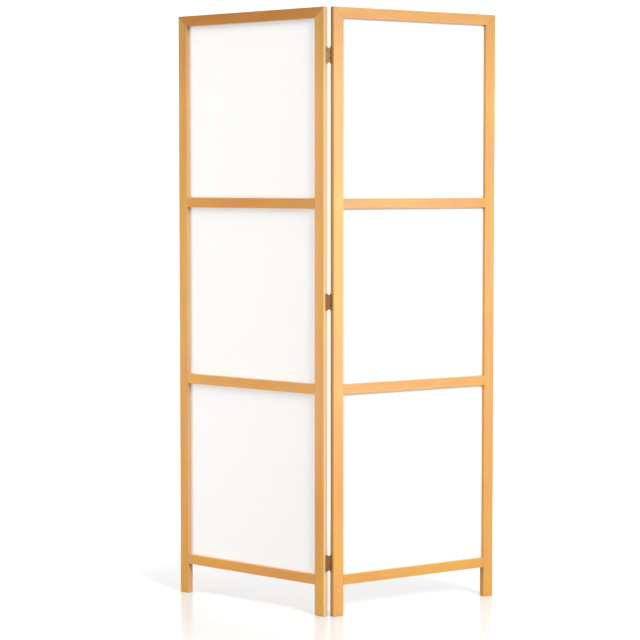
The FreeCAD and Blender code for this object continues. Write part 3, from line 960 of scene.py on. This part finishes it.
print(f"the head is {2 * HEAD_RADIUS / MM:.1f} mm wide, its cross {2 * CROSS_REACH / MM:.1f} mm")

# %% [markdown]
# ## The screw's shank
#
# Below its head a screw is round, so it is one ring drawn down step by step: each step extrudes the
# open rim, and moves and scales the new rim. Rings that are narrow and wide by turns make the
# thread. A true helix could be spun, but it would have many more faces, and the leaf and the wood
# hide the thread.

# %% Draw the shank down
SHANK_RADIUS = 1.5 * MM
CORE_RADIUS = 1.2 * MM
THREAD_PITCH = 1.25 * MM
ROOT_PLACES = (0.3, 0.7)
SCREW_LENGTH = 14 * MM
PLAIN_SHANK = 3 * MM
TIP_LENGTH = 3 * MM
TIP_RADIUS = 0.1 * MM
HEAD_DEPTH = HEAD_RADIUS - SHANK_RADIUS


def screw_profile():
    """Radius and depth of each ring below the flat of the head."""
    rings = [(HEAD_RADIUS, HEAD_EASING), (SHANK_RADIUS, HEAD_DEPTH), (SHANK_RADIUS, PLAIN_SHANK)]
    depth = PLAIN_SHANK
    while depth + THREAD_PITCH < SCREW_LENGTH - TIP_LENGTH / 2:
        taper = min(1, (SCREW_LENGTH - depth) / TIP_LENGTH)
        rings += [(CORE_RADIUS * taper, depth + THREAD_PITCH * place) for place in ROOT_PLACES]
        depth += THREAD_PITCH
        rings.append((SHANK_RADIUS * taper, depth))
    return rings + [(TIP_RADIUS, SCREW_LENGTH)]


def draw_shank(screw):
    """Draws the open rim of the head down to the tip, and closes it."""
    rim = [edge for edge in screw.edges if edge.is_boundary]
    rim_radius, rim_depth = FLAT_RADIUS, 0
    for radius, depth in screw_profile():
        grown = bmesh.ops.extrude_edge_only(screw, edges=rim)["geom"]
        ring = only(bmesh.types.BMVert, grown)
        edges = only(bmesh.types.BMEdge, grown)
        rim = [edge for edge in edges if all(vertex in ring for vertex in edge.verts)]
        bmesh.ops.scale(screw, vec=(radius / rim_radius, radius / rim_radius, 1), verts=ring)
        bmesh.ops.translate(screw, vec=(0, 0, depth - rim_depth), verts=ring)
        rim_radius, rim_depth = radius, depth
    bmesh.ops.contextual_create(screw, geom=rim)


print(f"a screw has {len(screw_profile())} rings")

# %% [markdown]
# ## Drive the screws
#
# The six screws of a panel are one piece, as they are one part on the bench. Each is turned by its
# own angle, because nobody stops driving a screw at the same point twice. Their heads lie a hair
# below the leaf.

# %% Place the screws
SCREW_SPACING = 28 * MM
SCREW_INSET = 6.5 * MM
LEAF_THICKNESS = 1.2 * MM
HEAD_SINK = 0.03 * MM
BROWNED_STEEL = ((0.26, 0.15, 0.06), (0.58, 0.42, 0.22))
screw_material = browned_metal("browned_screw", BROWNED_STEEL)


def add_screw(shape, height):
    """Adds a screw at that height to a shape, driven into the hinge edge of the panel."""
    screw = bmesh.new()
    add_head_flat(screw)
    draw_shank(screw)
    bmesh.ops.recalc_face_normals(screw, faces=screw.faces)
    place = Matrix.Translation((HEAD_SINK - LEAF_THICKNESS, BOARD - SCREW_INSET, height))
    turn = Matrix.Rotation(chance.uniform(0, math.pi), 4, "Z")
    screw.transform(place @ Matrix.Rotation(math.pi / 2, 4, "Y") @ turn)
    mesh = bpy.data.meshes.new("screw")
    screw.to_mesh(mesh)
    screw.free()
    shape.from_mesh(mesh)
    bpy.data.meshes.remove(mesh)


for side in SIDES:
    screws = bmesh.new()
    for level in PANES:
        low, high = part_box(f"{level}_hinge_{side}_leaf")
        for step in (-0.5, 0.5):
            add_screw(screws, (low.z + high.z) / 2 + step * SCREW_SPACING)
    piece = make_piece(f"{side}_driven_screws", screws, side, screw_material)
    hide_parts(f"{side}_hinge_screws")
    print(side, "screws have", len(piece.data.polygons), "faces")

# %% [markdown]
# ## Bead nails
#
# Small nails hold the beads. Only their heads show, on the back of the screen. A head is a short
# tapered disc with an eased rim, and the bead's wood hides the rest.

# %% Shape a nail
NAIL_SEGMENTS = 12
NAIL_RADIUS = 0.75 * MM
NAIL_DEPTH = 0.9 * MM
NAIL_PROUD = 0.12 * MM
NAIL_TAPER = 0.7
NAIL_EASING = 0.15 * MM
NAIL_STEEL = ((0.30, 0.27, 0.22), (0.62, 0.57, 0.48))
nail_material = browned_metal("nail_steel", NAIL_STEEL, metallic=0.9)


def add_nail(shape, u, z):
    """A nail's head in the back face of a bead."""
    middle = Matrix.Translation((u, BOARD + NAIL_PROUD - NAIL_DEPTH / 2, z))
    made = bmesh.ops.create_cone(
        shape, cap_ends=True, segments=NAIL_SEGMENTS, radius1=NAIL_RADIUS * NAIL_TAPER,
        radius2=NAIL_RADIUS, depth=NAIL_DEPTH, matrix=middle @ Matrix.Rotation(-math.pi / 2, 4, "X"),
    )
    edges = {edge for vertex in made["verts"] for edge in vertex.link_edges}
    rim = [edge for edge in edges if all(vertex.co.y > BOARD for vertex in edge.verts)]
    bmesh.ops.bevel(
        shape, geom=rim, affect="EDGES", offset=NAIL_EASING, segments=2, profile=0.5, material=-1,
    )


print(f"a nail's head is {2 * NAIL_RADIUS / MM:.1f} mm wide")

# %% [markdown]
# ## Nail the beads
#
# Four nails hold each bead. The outermost two are driven well in from the ends, so that the bead
# doesn't split, and all stand a little off their marks, because they were driven by hand.

# %% Place the nails
NAIL_INSET = 3.4 * MM
NAIL_FROM_END = 45 * MM
NAIL_WANDER = 4 * MM
NAILS_PER_BEAD = 4


def nail_places(start, end):
    """The marks for the nails between the two ends of a bead."""
    first = start + NAIL_FROM_END
    length = end - start - 2 * NAIL_FROM_END
    return [first + number / (NAILS_PER_BEAD - 1) * length for number in range(NAILS_PER_BEAD)]


def wandered(place):
    """A place a little off its mark."""
    return place + chance.uniform(-NAIL_WANDER, NAIL_WANDER)


for side in SIDES:
    nails = bmesh.new()
    for pane in PANES:
        low, high = panel_box(f"right_{pane}_sheet")
        for u, z in zip(nail_places(low.x, high.x), nail_places(low.z, high.z)):
            for bead_z in (low.z + NAIL_INSET, high.z - NAIL_INSET):
                add_nail(nails, wandered(u), bead_z)
            for bead_u in (low.x + NAIL_INSET, high.x - NAIL_INSET):
                add_nail(nails, bead_u, wandered(z))
    piece = make_piece(f"{side}_bead_nails", nails, side, nail_material)
    print(side, "nails have", len(piece.data.polygons), "faces")

# %% [markdown]
# ## The floor's paper
#
# The screen stands on white, slightly polished paper. It shows a faint mirror image of the legs, and
# soft shadows behind them. A few steps away the paper curves up into the lit sweep, which has no
# edge in the picture. A glow that grows with distance does the same on a level floor.
#
# Shop pictures have their paper lifted to pure white afterwards, so it looks brighter than the light
# that it throws back: the undersides of the rails and feet stay dark. Here too the camera sees white
# paper, and all other rays see a grey one.

# %% Mix the paper
PAPER_WHITE = (0.78, 0.78, 0.78)
PAPER_GREY = (0.33, 0.33, 0.33)
GLOW_WHITE = (0.42, 0.42, 0.42)
GLOW_START = 0.6
GLOW_END = 1.75


def sweep_paper():
    """White paper that glows away from the middle, and that only the camera sees as white."""
    paper = new_finish("white_paper_floor")
    place = paper.add("TexCoord", output="Object")
    haze = paper.noise(place, scale=3, detail=3)
    distance = paper.add("VectorMath", {"operation": "LENGTH"}, {0: place}, output="Value")
    glow = paper.fade(distance, GLOW_START, GLOW_END, low=0, high=1)
    white = paper.principled(
        Base_Color=opaque(PAPER_WHITE),
        Specular_IOR_Level=0.12,
        Roughness=paper.fade(haze, *NOISE_SPAN, low=0.20, high=0.26),
        Emission_Color=paper.mix(glow, (0, 0, 0), GLOW_WHITE),
        Emission_Strength=1,
    )
    grey = paper.add("BsdfDiffuse", {}, {"Color": opaque(PAPER_GREY)})
    seen = paper.add("LightPath", output="Is Camera Ray")
    return paper.end(paper.add("MixShader", {}, {0: seen, 1: grey, 2: white}))


paper_material = sweep_paper()
print("the floor is", paper_material.name)

# %% [markdown]
# ## The floor
#
# The floor itself is one large face, and it isn't a part of the screen. It reaches so far that its
# edge lies in the white distance from every side.

# %% Lay the floor
FLOOR_REACH = 30
floor_shape = bmesh.new()
bmesh.ops.create_grid(floor_shape, x_segments=1, y_segments=1, size=FLOOR_REACH)
floor_mesh = bpy.data.meshes.new("floor")
floor_shape.to_mesh(floor_mesh)
floor_shape.free()
floor = bpy.data.objects.new("floor", floor_mesh)
bpy.context.scene.collection.objects.link(floor)
coat(floor, paper_material)
print("the floor reaches", FLOOR_REACH, "m")

# %% [markdown]
# ## The sizes
#
# A finish mustn't change how large the screen is.
